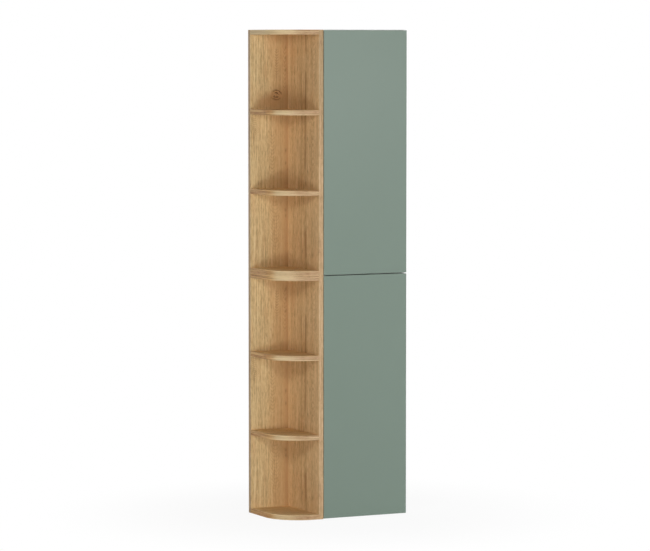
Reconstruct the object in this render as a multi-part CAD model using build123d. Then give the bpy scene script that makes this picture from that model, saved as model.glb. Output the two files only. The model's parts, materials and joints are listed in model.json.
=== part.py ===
from build123d import *
import math
import os

# A shelving column made of two equal units, one on top of the other. Each unit has an open tower of shelves
# with one rounded corner on the left, and a cupboard with one flat door on the right.
# The origin is at the middle of the footprint, on the floor. +X is to the right, +Y towards the wall, +Z up.
# All lengths are in millimetres.

# Whole units
UNIT_HEIGHT = 800.0
OPEN_WIDTH = 138.0
CUPBOARD_WIDTH = 322.0
DEPTH = 250.0
BOARD = 16.0
OPEN_BAYS = 3
CORNER_FLAT = 18.0
EDGE_RADIUS = 0.5

# Doors
DOOR_THICKNESS = 16.0
DOOR_BACK_GAP = 3.0
DOOR_DIVIDER_GAP = 2.0
DOOR_SIDE_REVEAL = 1.0
DOOR_END_GAP = 1.5
DOOR_EDGE_RADIUS = 1.2

# Thin back in its grooves
THIN_BACK = 3.0
THIN_BACK_SETBACK = 17.0
GROOVE_DEPTH = 8.0
GROOVE_PLAY = 0.2
GROOVE_END_PLAY = 0.5

# Inner shelves on supports in rows of holes
INNER_SHELF_SETBACK = 20.0
INNER_SHELF_PLAY = 1.0
INNER_SHELF_LEVELS = {"low": 256.0, "high": 516.0}
HOLE_PITCH = 32.0
HOLE_ROW_INSET = 37.0
HOLES_EACH_WAY = 2
SUPPORT_RADIUS = 2.4
SUPPORT_DEPTH = 8.0
SUPPORT_REACH = 7.0
SUPPORT_PAD_WIDTH = 9.0
SUPPORT_PAD_THICKNESS = 2.2

# Fasteners of the boards
FIT_PLAY = 0.1
SCREW_RADIUS = 3.5
SCREW_LENGTH = 50.0
SCREW_HEAD_RADIUS = 5.0
SCREW_HEAD_HEIGHT = 3.0
SCREW_FRONT_INSET = 65.0
SCREW_BACK_INSET = 65.0
BACK_SCREW_INSET = 35.0
SOCKET_RADIUS = 2.0
SOCKET_DEPTH = 2.4
CROSS_LENGTH = 3.2
CROSS_WIDTH = 0.9
CROSS_DEPTH = 0.6
HEAD_TAPER = 0.75
OVERCUT = 1.0
DOWEL_RADIUS = 4.0
DOWEL_LENGTH = 30.0
DOWEL_IN_PANEL = 12.0
DOWEL_INSET = 75.0
DOWEL_CHAMFER = 1.0
CAM_RADIUS = 7.5
CAM_HEIGHT = 12.5
CAM_FROM_END = 34.0
CAM_INSET = 25.0
CAM_BOLT_THREAD_RADIUS = 2.5
CAM_BOLT_THREAD_LENGTH = 11.0
CAM_BOLT_STEM_RADIUS = 3.5
CAM_BOLT_NECK_RADIUS = 1.8
CAM_BOLT_HEAD_RADIUS = 3.0
CAM_BOLT_HEAD_LENGTH = 3.0
CAM_CAVITY_RADIUS = 3.8
CAM_SLOT_LENGTH = 10.0
CAM_SLOT_WIDTH = 1.6
CAM_SLOT_DEPTH = 1.5
CONNECTOR_RADIUS = 3.5
CONNECTOR_HEAD_RADIUS = 6.0
CONNECTOR_HEAD_HEIGHT = 1.6
CONNECTOR_SCREW_RADIUS = 2.2
CONNECTOR_SCREW_LENGTH = 25.0
CONNECTOR_END_WALL = 1.6
CONNECTOR_SIDE_INSET = 45.0
CONNECTOR_END_INSET = 55.0

# Hinges, one eye and one pin each, with the pin inside a cup that is sunk in the door
HINGE_FROM_END = 100.0
CUP_RADIUS = 17.5
CUP_EDGE_MARGIN = 3.0
CUP_DEPTH = 12.4
CUP_WALL = 0.8
CUP_FLANGE_RADIUS = 18.2
CUP_FLANGE_THICKNESS = 1.0
CUP_WING_REACH = 29.0
CUP_WING_WIDTH = 17.0
CUP_WING_BEYOND_SCREW = 5.7
CUP_WING_CORNER = 4.2
CUP_SCREW_SPACING = 45.0
CUP_SCREW_OFFSET = 9.5
CUP_SCREW_RADIUS = 1.75
CUP_SCREW_LENGTH = 13.0
CUP_SCREW_HEAD_RADIUS = 3.2
CUP_SCREW_HEAD_HEIGHT = 0.8
PIN_FROM_DOOR_EDGE = 7.3
PIN_BEHIND_DOOR_BACK = 8.2
PIN_RADIUS = 1.25
PIN_HOLE_PLAY = 0.08
EYE_RADIUS = 2.6
EYE_HALF_WIDTH = 4.2
CHEEK_PLAY = 0.5
CHEEK_THICKNESS = 3.5
CHEEK_HALF_WIDTH = 3.2
NECK_THICKNESS = 2.4
NECK_REACH = 11.5
NECK_DIP = 1.4
NECK_MOUTH_DEPTH = 4.5
ARM_WEB = 2.0
ARM_OFFSET = 9.5
ARM_START = 3.0
ARM_END = 62.0
ARM_HALF_WIDTH = 8.0
ARM_FLANGE_THICKNESS = 1.5
ARM_FLANGE_GAP = 3.5
SADDLE_PLAY = 0.5
SADDLE_START = 16.0
PLATE_THICKNESS = 2.5
PLATE_LINE = 37.0
PLATE_HALF_DEPTH = 13.0
PLATE_HALF_HEIGHT = 23.0
PLATE_CORNER = 4.3
PLATE_SCREW_RADIUS = 3.0
PLATE_SCREW_LENGTH = 12.0
PLATE_SCREW_HEAD_RADIUS = 5.0
PLATE_SCREW_HEAD_HEIGHT = 1.4
ARM_SCREW_RADIUS = 2.0
ARM_SCREW_HEAD_RADIUS = 3.4
ARM_SCREW_HEAD_HEIGHT = 1.6
ARM_SCREW_PLACES = (24.0, 50.0)

# Push latch on the divider, halfway up each door
LATCH_WIDTH = 13.0
LATCH_HEIGHT = 14.0
LATCH_LENGTH = 64.0
LATCH_SETBACK = 2.0
LATCH_EAR_LENGTH = 9.0
LATCH_EAR_THICKNESS = 3.0
LATCH_SCREW_RADIUS = 1.75
LATCH_SCREW_LENGTH = 14.0
LATCH_SCREW_HEAD_RADIUS = 3.2
LATCH_SCREW_HEAD_HEIGHT = 1.6
LATCH_WALL_AT_END = 2.0
LATCH_EDGE_RADIUS = 2.0
PLUNGER_RADIUS = 3.0
PLUNGER_PLAY = 0.3
PLUNGER_LENGTH_INSIDE = 42.0
PLUNGER_TIP_RADIUS = 4.4
PLUNGER_TIP_LENGTH = 2.4
PLUNGER_TIP_ROUND = 0.5
SPRING_WIRE_RADIUS = 0.35
SPRING_RADIUS = 2.3
SPRING_PITCH = 2.0
STRIKE_SIDE = 15.0
STRIKE_THICKNESS = 0.8
STRIKE_CORNER_RADIUS = 3.0
TIP_PLAY = 0.3
BUMPER_RADIUS = 4.0
BUMPER_THICKNESS = 1.4
BUMPER_SIDE_INSET = 9.0
BUMPER_END_INSET = 40.0

# Wall hangers in the void behind the upper unit's thin back
HANGER_FROM_TOP = 62.0
HANGER_WIDTH = 12.0
HANGER_HEIGHT = 60.0
HANGER_FRONT_PLAY = 1.0
HANGER_REAR_PLAY = 1.0
HANGER_SCREW_PITCH = 44.0
HANGER_SCREW_RADIUS = 2.0
HANGER_SCREW_LENGTH = 26.0
HANGER_SCREW_HEAD_RADIUS = 3.5
HANGER_SCREW_HEAD_HEIGHT = 2.0
HOOK_REACH = 46.0
HOOK_THICKNESS = 2.4
HOOK_DROP = 13.0
HOOK_PLAY = 0.3
WALL_PLATE_THICKNESS = 2.0
WALL_PLATE_WIDTH = 62.0
WALL_PLATE_SIDE_GAP = 3.0
WALL_PLATE_HEIGHT = 40.0
WALL_PLATE_LIP = 14.0
WALL_PLATE_OFFSET = 4.0
WALL_HOLE_RADIUS = 3.25
WALL_HOLE_SPACING = 40.0

# Planes and faces that follow from the sizes above
LEFT = -(OPEN_WIDTH + CUPBOARD_WIDTH) / 2
RIGHT = -LEFT
FRONT = -DEPTH / 2
BACK = DEPTH / 2
DIVIDER_LEFT = LEFT + OPEN_WIDTH
DIVIDER_RIGHT = DIVIDER_LEFT + BOARD
SIDE_INNER = RIGHT - BOARD
OPEN_BACK_FACE = BACK - BOARD
DOOR_BACK = FRONT + DOOR_THICKNESS
CARCASS_FRONT = DOOR_BACK + DOOR_BACK_GAP
DOOR_LEFT = DIVIDER_RIGHT + DOOR_DIVIDER_GAP
DOOR_RIGHT = RIGHT - DOOR_SIDE_REVEAL
THIN_BACK_REAR = BACK - THIN_BACK_SETBACK
THIN_BACK_FACE = THIN_BACK_REAR - THIN_BACK
CLEAR_BAY = (UNIT_HEIGHT - (OPEN_BAYS + 1) * BOARD) / OPEN_BAYS
CORNER_RADIUS = OPEN_WIDTH - CORNER_FLAT
OPEN_LEVELS = {
    "open_bottom_board": 0.0,
    "open_shelf_low": BOARD + CLEAR_BAY,
    "open_shelf_high": 2 * (BOARD + CLEAR_BAY),
    "open_top_board": UNIT_HEIGHT - BOARD,
}
UNITS = {"lower": 0.0, "upper": UNIT_HEIGHT}
HINGE_LEVELS = (HINGE_FROM_END, UNIT_HEIGHT - HINGE_FROM_END)
CUP_X = DOOR_RIGHT - CUP_EDGE_MARGIN - CUP_RADIUS
PIN_X = DOOR_RIGHT - PIN_FROM_DOOR_EDGE
PIN_Y = DOOR_BACK - PIN_BEHIND_DOOR_BACK
CAM_ROWS = (CARCASS_FRONT + CAM_INSET, THIN_BACK_FACE - CAM_INSET)
DOWEL_ROWS = (CARCASS_FRONT + DOWEL_INSET, THIN_BACK_FACE - DOWEL_INSET)
SCREW_ROWS = (FRONT + SCREW_FRONT_INSET, OPEN_BACK_FACE - SCREW_BACK_INSET)
HOLE_ROWS = (CARCASS_FRONT + HOLE_ROW_INSET, THIN_BACK_FACE - HOLE_ROW_INSET)


def block(x, y, z):
    """A box between the low and high value of each pair."""
    corner = Pos(min(x), min(y), min(z))
    return corner * Box(abs(x[1] - x[0]), abs(y[1] - y[0]), abs(z[1] - z[0]), align=(Align.MIN,) * 3)


def rod(start, direction, radius, length):
    """A round bar from a point along a direction."""
    return Plane(origin=start, z_dir=direction) * Cylinder(
        radius, length, align=(Align.CENTER, Align.CENTER, Align.MIN)
    )


def cone(start, direction, base_radius, top_radius, length):
    return Plane(origin=start, z_dir=direction) * Cone(
        base_radius, top_radius, length, align=(Align.CENTER, Align.CENTER, Align.MIN)
    )


def step(start, direction, distance):
    """The point at a distance from a start along a unit direction."""
    return tuple(a + b * distance for a, b in zip(start, direction))


def reverse(direction):
    return tuple(-a for a in direction)


def socket(start, direction):
    """A six-sided key socket that goes into a screw head."""
    return Plane(origin=start, z_dir=direction) * extrude(RegularPolygon(SOCKET_RADIUS, 6), SOCKET_DEPTH)


def cross_slot(start, direction, length=CROSS_LENGTH, width=CROSS_WIDTH, depth=CROSS_DEPTH):
    """A cross-shaped driver slot that goes into a head."""
    align = (Align.CENTER, Align.CENTER, Align.MIN)
    cross = Box(length, width, depth, align=align) + Box(width, length, depth, align=align)
    return Plane(origin=start, z_dir=direction) * cross


# Fastener shapes and the holes that they need. A place is a point on the surface and the way in.
def board_screw(place):
    start, way = place
    shank = rod(start, way, SCREW_RADIUS, SCREW_LENGTH)
    head = cone(start, way, SCREW_HEAD_RADIUS, SCREW_RADIUS, SCREW_HEAD_HEIGHT)
    return shank + head - socket(start, way)


def board_screw_hole(place):
    start, way = place
    shank = rod(start, way, SCREW_RADIUS + FIT_PLAY, SCREW_LENGTH + FIT_PLAY)
    head = cone(start, way, SCREW_HEAD_RADIUS + FIT_PLAY, SCREW_RADIUS + FIT_PLAY, SCREW_HEAD_HEIGHT)
    return shank + head


def dowel(place):
    start, way = place
    bar = rod(step(start, way, -DOWEL_IN_PANEL), way, DOWEL_RADIUS, DOWEL_LENGTH)
    return chamfer(bar.edges().filter_by(GeomType.CIRCLE), DOWEL_CHAMFER)


def dowel_hole(place):
    start, way = place
    return rod(
        step(start, way, -DOWEL_IN_PANEL - FIT_PLAY), way, DOWEL_RADIUS + FIT_PLAY, DOWEL_LENGTH + 2 * FIT_PLAY
    )


def cam_bolt(place):
    """Thread in the panel, stem in the board's end, and a head that the cam pulls."""
    start, way = place
    stem_length = CAM_FROM_END - CAM_RADIUS
    neck_length = CAM_RADIUS
    thread = rod(start, reverse(way), CAM_BOLT_THREAD_RADIUS, CAM_BOLT_THREAD_LENGTH)
    stem = rod(start, way, CAM_BOLT_STEM_RADIUS, stem_length)
    neck = rod(start, way, CAM_BOLT_NECK_RADIUS, stem_length + neck_length)
    head_start = step(start, way, CAM_FROM_END - CAM_BOLT_HEAD_LENGTH / 2)
    head = rod(head_start, way, CAM_BOLT_HEAD_RADIUS, CAM_BOLT_HEAD_LENGTH)
    return thread + stem + neck + head


def cam_bolt_holes(place):
    start, way = place
    in_panel = rod(
        start, reverse(way), CAM_BOLT_THREAD_RADIUS + FIT_PLAY, CAM_BOLT_THREAD_LENGTH + FIT_PLAY
    )
    in_board = rod(start, way, CAM_BOLT_STEM_RADIUS + FIT_PLAY, CAM_FROM_END)
    return in_panel + in_board


def cam_lock(place, face_z, sink):
    """A cam sunk from a board's hidden face, with a cavity round the bolt's head and a cross slot."""
    start, way = place
    centre = step(start, way, CAM_FROM_END)
    body = rod((centre[0], centre[1], face_z), (0, 0, sink), CAM_RADIUS, CAM_HEIGHT)
    cavity_length = CAM_RADIUS + OVERCUT + CAM_BOLT_HEAD_LENGTH
    cavity = rod(step(centre, way, -CAM_RADIUS - OVERCUT), way, CAM_CAVITY_RADIUS, cavity_length)
    slot_start = (centre[0], centre[1], face_z)
    slot = cross_slot(slot_start, (0, 0, sink), CAM_SLOT_LENGTH, CAM_SLOT_WIDTH, CAM_SLOT_DEPTH)
    return body - cavity - slot


def cam_hole(place, face_z, sink):
    start, way = place
    centre = step(start, way, CAM_FROM_END)
    return rod((centre[0], centre[1], face_z), (0, 0, sink), CAM_RADIUS + FIT_PLAY, CAM_HEIGHT + FIT_PLAY)


# Places of the fasteners in one unit
def cupboard_board_ends(level):
    """The two ends of a cupboard board: the panel face that it meets and the way into the board."""
    middle = level + BOARD / 2
    return ((DIVIDER_RIGHT, middle, (1, 0, 0)), (SIDE_INNER, middle, (-1, 0, 0)))


def end_places(level, rows):
    return [((x, y, z), way) for x, z, way in cupboard_board_ends(level) for y in rows]


def open_screw_places(level):
    """Two screws through the divider and two through the back board into one open board."""
    middle = level + BOARD / 2
    through_divider = [((DIVIDER_RIGHT, y, middle), (-1, 0, 0)) for y in SCREW_ROWS]
    back_x = (LEFT + BACK_SCREW_INSET, DIVIDER_LEFT - BACK_SCREW_INSET)
    through_back = [((x, BACK, middle), (0, -1, 0)) for x in back_x]
    return through_divider, through_back


def back_dowel_places(floor):
    """Dowels between the divider and the open back board, one in the middle of each bay."""
    y = BACK - BOARD / 2
    levels = [floor + BOARD + CLEAR_BAY / 2 + n * (BOARD + CLEAR_BAY) for n in range(OPEN_BAYS)]
    return [((DIVIDER_LEFT, y, z), (-1, 0, 0)) for z in levels]


def connector_places():
    xs = (DIVIDER_RIGHT + CONNECTOR_SIDE_INSET, SIDE_INNER - CONNECTOR_SIDE_INSET)
    ys = (CARCASS_FRONT + CONNECTOR_END_INSET, THIN_BACK_FACE - CONNECTOR_END_INSET)
    return [(x, y) for x in xs for y in ys]


def support_hole_levels(floor):
    """Heights of the shelf support holes round each inner shelf."""
    top = SUPPORT_PAD_THICKNESS + SUPPORT_RADIUS
    return [
        floor + level - top + n * HOLE_PITCH
        for level in INNER_SHELF_LEVELS.values()
        for n in range(-HOLES_EACH_WAY, HOLES_EACH_WAY + 1)
    ]


def support_holes(face_x, way, floor):
    return [
        rod((face_x, y, z), way, SUPPORT_RADIUS + FIT_PLAY, SUPPORT_DEPTH + FIT_PLAY)
        for y in HOLE_ROWS
        for z in support_hole_levels(floor)
    ]


def plate_screw_places(floor):
    y = CARCASS_FRONT + PLATE_LINE
    return [
        (SIDE_INNER - PLATE_THICKNESS, y, floor + level + side * HOLE_PITCH / 2)
        for level in HINGE_LEVELS
        for side in (-1, 1)
    ]


def hanger_screw_places():
    """Screws that hold the two hanger bodies on the inner faces of the upper unit."""
    y = (THIN_BACK_REAR + HANGER_FRONT_PLAY + BACK - HANGER_REAR_PLAY) / 2
    middle = 2 * UNIT_HEIGHT - BOARD - HANGER_FROM_TOP
    heights = (middle - HANGER_SCREW_PITCH / 2, middle + HANGER_SCREW_PITCH / 2)
    left = [((DIVIDER_RIGHT + HANGER_WIDTH, y, z), (-1, 0, 0)) for z in heights]
    right = [((SIDE_INNER - HANGER_WIDTH, y, z), (1, 0, 0)) for z in heights]
    return left, right


# Boards
def thin_back_groove(x, z):
    y = (THIN_BACK_FACE - GROOVE_PLAY, THIN_BACK_REAR + GROOVE_PLAY)
    return block(x, y, z)


def latch_screw_places(floor):
    z = floor + UNIT_HEIGHT / 2
    start = CARCASS_FRONT + LATCH_SETBACK
    rear = start + LATCH_LENGTH + LATCH_EAR_LENGTH / 2
    front = start + LATCH_EAR_LENGTH / 2
    outer = LATCH_HEIGHT / 2 + LATCH_EAR_LENGTH / 2
    x = DIVIDER_RIGHT + LATCH_EAR_THICKNESS
    return [((x, front, z + outer), (-1, 0, 0)), ((x, rear, z), (-1, 0, 0))]


def round_front_edges(panel, face_y, radius):
    """Takes the sharpness off the two long edges of an upright panel's front."""
    on_front = [
        e for e in panel.edges().filter_by(Axis.Z)
        if abs(e.center().Y - face_y) < radius / 2 and e.length > UNIT_HEIGHT / 2
    ]
    return fillet(on_front, radius)


def divider_panel(name, floor):
    z = (floor, floor + UNIT_HEIGHT)
    panel = round_front_edges(block((DIVIDER_LEFT, DIVIDER_RIGHT), (FRONT, BACK), z), FRONT, EDGE_RADIUS)
    cuts = [thin_back_groove((DIVIDER_RIGHT - GROOVE_DEPTH, DIVIDER_RIGHT + OVERCUT), z)]
    for level in OPEN_LEVELS.values():
        cuts += [board_screw_hole(p) for p in open_screw_places(floor + level)[0]]
    for level in (floor, floor + UNIT_HEIGHT - BOARD):
        cuts += [cam_bolt_holes(p) for p in end_places(level, CAM_ROWS) if p[1][0] > 0]
        cuts += [dowel_hole(p) for p in end_places(level, DOWEL_ROWS) if p[1][0] > 0]
    cuts += [dowel_hole(p) for p in back_dowel_places(floor)]
    cuts += support_holes(DIVIDER_RIGHT, (-1, 0, 0), floor)
    cuts += [latch_screw_hole(p) for p in latch_screw_places(floor)]
    if name == "upper":
        cuts += [hanger_screw_hole(p) for p in hanger_screw_places()[0]]
    return panel - cuts


def side_panel(name, floor):
    z = (floor, floor + UNIT_HEIGHT)
    panel = block((SIDE_INNER, RIGHT), (CARCASS_FRONT, BACK), z)
    panel = round_front_edges(panel, CARCASS_FRONT, EDGE_RADIUS)
    cuts = [thin_back_groove((SIDE_INNER - OVERCUT, SIDE_INNER + GROOVE_DEPTH), z)]
    for level in (floor, floor + UNIT_HEIGHT - BOARD):
        cuts += [cam_bolt_holes(p) for p in end_places(level, CAM_ROWS) if p[1][0] < 0]
        cuts += [dowel_hole(p) for p in end_places(level, DOWEL_ROWS) if p[1][0] < 0]
    cuts += support_holes(SIDE_INNER, (1, 0, 0), floor)
    cuts += [plate_screw_hole(p) for p in plate_screw_places(floor)]
    if name == "upper":
        cuts += [hanger_screw_hole(p) for p in hanger_screw_places()[1]]
    return panel - cuts


def cupboard_board(floor, level, sink, meets_other_unit):
    """A cupboard's bottom or top. Its cams go into the hidden face, upwards at the bottom (sink 1)."""
    z = (floor + level, floor + level + BOARD)
    board = block((DIVIDER_RIGHT, SIDE_INNER), (CARCASS_FRONT, BACK), z)
    hidden_face = z[0] if sink > 0 else z[1]
    inner_face = z[1] if sink > 0 else z[0]
    groove = (inner_face + sink * OVERCUT, inner_face - sink * GROOVE_DEPTH)
    cuts = [thin_back_groove((DIVIDER_RIGHT - OVERCUT, SIDE_INNER + OVERCUT), groove)]
    for place in end_places(z[0], CAM_ROWS):
        cuts += [cam_bolt_holes(place), cam_hole(place, hidden_face, sink)]
    cuts += [dowel_hole(p) for p in end_places(z[0], DOWEL_ROWS)]
    if meets_other_unit:
        cuts += [connector_hole(x, y, z) for x, y in connector_places()]
    return board - cuts


def connector_hole(x, y, z):
    return rod((x, y, z[0] - OVERCUT), (0, 0, 1), CONNECTOR_RADIUS + FIT_PLAY, z[1] - z[0] + 2 * OVERCUT)


def thin_back(floor):
    reach = GROOVE_DEPTH - GROOVE_END_PLAY
    x = (DIVIDER_RIGHT - reach, SIDE_INNER + reach)
    z = (floor + BOARD - reach, floor + UNIT_HEIGHT - BOARD + reach)
    return block(x, (THIN_BACK_FACE, THIN_BACK_REAR), z)


def open_back_board(floor):
    z = (floor, floor + UNIT_HEIGHT)
    panel = block((LEFT, DIVIDER_LEFT), (OPEN_BACK_FACE, BACK), z)
    left_edges = [e for e in panel.edges().filter_by(Axis.Z) if e.center().X < LEFT + EDGE_RADIUS]
    panel = fillet(left_edges, EDGE_RADIUS)
    cuts = [dowel_hole(p) for p in back_dowel_places(floor)]
    for level in OPEN_LEVELS.values():
        cuts += [board_screw_hole(p) for p in open_screw_places(floor + level)[1]]
    return panel - cuts


def open_board(floor, level):
    """A shelf of the open tower, with a large round corner at the front left."""
    z = (floor + level, floor + level + BOARD)
    board = block((LEFT, DIVIDER_LEFT), (FRONT, OPEN_BACK_FACE), z)
    corner = board.edges().filter_by(Axis.Z).sort_by(lambda e: e.center().X + e.center().Y)[0]
    board = fillet(corner, CORNER_RADIUS)
    outer = [e for e in board.edges() if is_outer_rim(e)]
    board = fillet(outer, EDGE_RADIUS)
    through_divider, through_back = open_screw_places(z[0])
    return board - [board_screw_hole(p) for p in through_divider + through_back]


def is_outer_rim(edge):
    """True for the level edges of an open shelf that run along its left side, corner and front."""
    middle = edge.center()
    level = abs(edge.start_point().Z - edge.end_point().Z) < EDGE_RADIUS
    joins_wall = middle.Y > OPEN_BACK_FACE - EDGE_RADIUS
    joins_divider = middle.X > DIVIDER_LEFT - EDGE_RADIUS
    return level and not joins_wall and not joins_divider


def inner_shelf(floor, level):
    x = (DIVIDER_RIGHT + INNER_SHELF_PLAY, SIDE_INNER - INNER_SHELF_PLAY)
    y = (CARCASS_FRONT + INNER_SHELF_SETBACK, THIN_BACK_FACE - INNER_SHELF_PLAY)
    return block(x, y, (floor + level, floor + level + BOARD))


def shelf_supports():
    """Four pins with flat pads under each inner shelf."""
    supports = []
    for floor in UNITS.values():
        for level in INNER_SHELF_LEVELS.values():
            top = floor + level
            z = top - SUPPORT_PAD_THICKNESS - SUPPORT_RADIUS
            for y in HOLE_ROWS:
                supports.append(shelf_support((DIVIDER_RIGHT, y, z), 1, top))
                supports.append(shelf_support((SIDE_INNER, y, z), -1, top))
    return supports


def shelf_support(face, way, top):
    x, y, z = face
    pin = rod((x - way * SUPPORT_DEPTH, y, z), (way, 0, 0), SUPPORT_RADIUS, SUPPORT_DEPTH + SUPPORT_REACH)
    half = SUPPORT_PAD_WIDTH / 2
    pad = block((x, x + way * SUPPORT_REACH), (y - half, y + half), (z, top))
    return pin + pad


# Doors and their hinges
def door(floor):
    x = (DOOR_LEFT, DOOR_RIGHT)
    z = (floor + DOOR_END_GAP, floor + UNIT_HEIGHT - DOOR_END_GAP)
    panel = block(x, (FRONT, DOOR_BACK), z)
    panel = fillet(panel.edges(), DOOR_EDGE_RADIUS)
    cuts = []
    for level in HINGE_LEVELS:
        centre = (CUP_X, DOOR_BACK, floor + level)
        cuts.append(rod(centre, (0, -1, 0), CUP_RADIUS + FIT_PLAY, CUP_DEPTH + FIT_PLAY))
        cuts += [cup_screw_hole(p) for p in cup_screw_places(floor + level)]
    return panel - cuts


def cup_screw_places(z):
    x = CUP_X - CUP_SCREW_OFFSET
    y = DOOR_BACK + CUP_FLANGE_THICKNESS
    return [(x, y, z - CUP_SCREW_SPACING / 2), (x, y, z + CUP_SCREW_SPACING / 2)]


def cup_screw(point):
    shank = rod(point, (0, -1, 0), CUP_SCREW_RADIUS, CUP_SCREW_LENGTH)
    head_top = CUP_SCREW_HEAD_RADIUS * HEAD_TAPER
    head = cone(point, (0, 1, 0), CUP_SCREW_HEAD_RADIUS, head_top, CUP_SCREW_HEAD_HEIGHT)
    return shank + head - cross_slot(step(point, (0, 1, 0), CUP_SCREW_HEAD_HEIGHT), (0, -1, 0))


def cup_screw_hole(point):
    return rod(point, (0, -1, 0), CUP_SCREW_RADIUS + FIT_PLAY, CUP_SCREW_LENGTH + FIT_PLAY)


def hinge_cup(z):
    """A round cup with a flange on the door's back and two cheeks that carry the pin."""
    centre = (CUP_X, DOOR_BACK, z)
    shell = rod(centre, (0, -1, 0), CUP_RADIUS, CUP_DEPTH)
    flange = rod(centre, (0, 1, 0), CUP_FLANGE_RADIUS, CUP_FLANGE_THICKNESS)
    wing_start = CUP_X - CUP_SCREW_OFFSET - CUP_WING_BEYOND_SCREW
    wing_x = (wing_start, wing_start + CUP_WING_WIDTH)
    wing_y = (DOOR_BACK, DOOR_BACK + CUP_FLANGE_THICKNESS)
    wings = block(wing_x, wing_y, (z - CUP_WING_REACH, z + CUP_WING_REACH))
    wings = fillet(wings.edges().filter_by(Axis.Y), CUP_WING_CORNER)
    inner_depth = CUP_DEPTH - CUP_WALL + CUP_FLANGE_THICKNESS
    mouth = (CUP_X, DOOR_BACK + CUP_FLANGE_THICKNESS, z)
    hollow = rod(mouth, (0, -1, 0), CUP_RADIUS - CUP_WALL, inner_depth)
    body = shell + flange + wings - hollow
    inner = EYE_HALF_WIDTH + CHEEK_PLAY
    outer = inner + CHEEK_THICKNESS
    cheek_y = (DOOR_BACK - CUP_DEPTH + CUP_WALL / 2, PIN_Y + CHEEK_HALF_WIDTH)
    cheek_x = (PIN_X - CHEEK_HALF_WIDTH, CUP_X + CUP_RADIUS)
    for side in (-1, 1):
        cheek = block(cheek_x, cheek_y, (z + side * inner, z + side * outer))
        body += cheek & rod(centre, (0, -1, 0), CUP_RADIUS, CUP_DEPTH)
    pin_hole = rod((PIN_X, PIN_Y, z - outer), (0, 0, 1), PIN_RADIUS + PIN_HOLE_PLAY, 2 * outer)
    screw_holes = [cup_screw_hole(p) for p in cup_screw_places(z)]
    return body - [pin_hole] - screw_holes


def hinge_pin(z):
    half = EYE_HALF_WIDTH + CHEEK_PLAY + CHEEK_THICKNESS
    return rod((PIN_X, PIN_Y, z - half), (0, 0, 1), PIN_RADIUS, 2 * half)


def neck_bar(start, end, z):
    """One straight run of the neck, round at both ends."""
    length = math.dist(start, end)
    angle = math.degrees(math.atan2(end[1] - start[1], end[0] - start[0]))
    middle = ((start[0] + end[0]) / 2, (start[1] + end[1]) / 2)
    bar = Pos(middle[0], middle[1], z) * Rot(0, 0, angle) * Box(length, NECK_THICKNESS, 2 * EYE_HALF_WIDTH)
    for point in (start, end):
        bar += Pos(point[0], point[1], z) * Cylinder(NECK_THICKNESS / 2, 2 * EYE_HALF_WIDTH)
    return bar


def hinge_arm(z):
    """A channel over the mounting plate, with a bent neck that reaches into the cup to the pin."""
    web_x = (SIDE_INNER - ARM_OFFSET - ARM_WEB, SIDE_INNER - ARM_OFFSET)
    y = (CARCASS_FRONT + ARM_START, CARCASS_FRONT + ARM_END)
    arm = block(web_x, y, (z - ARM_HALF_WIDTH, z + ARM_HALF_WIDTH))
    flange_x = (web_x[0], SIDE_INNER - ARM_FLANGE_GAP)
    for side in (-1, 1):
        edge = z + side * ARM_HALF_WIDTH
        arm += block(flange_x, (y[0] + NECK_THICKNESS, y[1]), (edge, edge - side * ARM_FLANGE_THICKNESS))
    neck_x = (web_x[0] + web_x[1]) / 2
    points = (
        (PIN_X, PIN_Y),
        (PIN_X - NECK_REACH, PIN_Y - NECK_DIP),
        (neck_x, DOOR_BACK - NECK_MOUTH_DEPTH),
        (neck_x, y[0] + NECK_THICKNESS),
    )
    for start, end in zip(points, points[1:]):
        arm += neck_bar(start, end, z)
    arm += Pos(PIN_X, PIN_Y, z) * Cylinder(EYE_RADIUS, 2 * EYE_HALF_WIDTH)
    arm -= Pos(PIN_X, PIN_Y, z) * Cylinder(PIN_RADIUS + PIN_HOLE_PLAY, 2 * EYE_HALF_WIDTH)
    holes = [arm_screw_hole((web_x[0], CARCASS_FRONT + place, z)) for place in ARM_SCREW_PLACES]
    return arm - holes


def hinge_plate(z):
    """A cross-shaped plate on the side panel, with a saddle that the arm sits on."""
    line = CARCASS_FRONT + PLATE_LINE
    base_x = (SIDE_INNER - PLATE_THICKNESS, SIDE_INNER)
    base = block(
        base_x,
        (line - PLATE_HALF_DEPTH, line + PLATE_HALF_DEPTH),
        (z - PLATE_HALF_HEIGHT, z + PLATE_HALF_HEIGHT),
    )
    base = fillet(base.edges().filter_by(Axis.X), PLATE_CORNER)
    half = ARM_HALF_WIDTH - ARM_FLANGE_THICKNESS - SADDLE_PLAY
    saddle_y = (CARCASS_FRONT + SADDLE_START, CARCASS_FRONT + ARM_END)
    saddle = block((SIDE_INNER - ARM_OFFSET, SIDE_INNER), saddle_y, (z - half, z + half))
    plate = base + saddle
    cuts = [
        rod((SIDE_INNER - PLATE_THICKNESS - OVERCUT, line, z + side * HOLE_PITCH / 2), (1, 0, 0),
            PLATE_SCREW_RADIUS + FIT_PLAY, PLATE_THICKNESS + 2 * OVERCUT)
        for side in (-1, 1)
    ]
    cuts += [
        arm_screw_hole((SIDE_INNER - ARM_OFFSET - ARM_WEB, CARCASS_FRONT + place, z))
        for place in ARM_SCREW_PLACES
    ]
    return plate - cuts


def arm_screw(point):
    """Holds the arm on the saddle. Its head lies on the arm's web."""
    shank = rod(point, (1, 0, 0), ARM_SCREW_RADIUS, ARM_OFFSET + ARM_WEB / 2)
    head = rod(point, (-1, 0, 0), ARM_SCREW_HEAD_RADIUS, ARM_SCREW_HEAD_HEIGHT)
    return shank + head - cross_slot(step(point, (-1, 0, 0), ARM_SCREW_HEAD_HEIGHT), (1, 0, 0))


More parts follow.
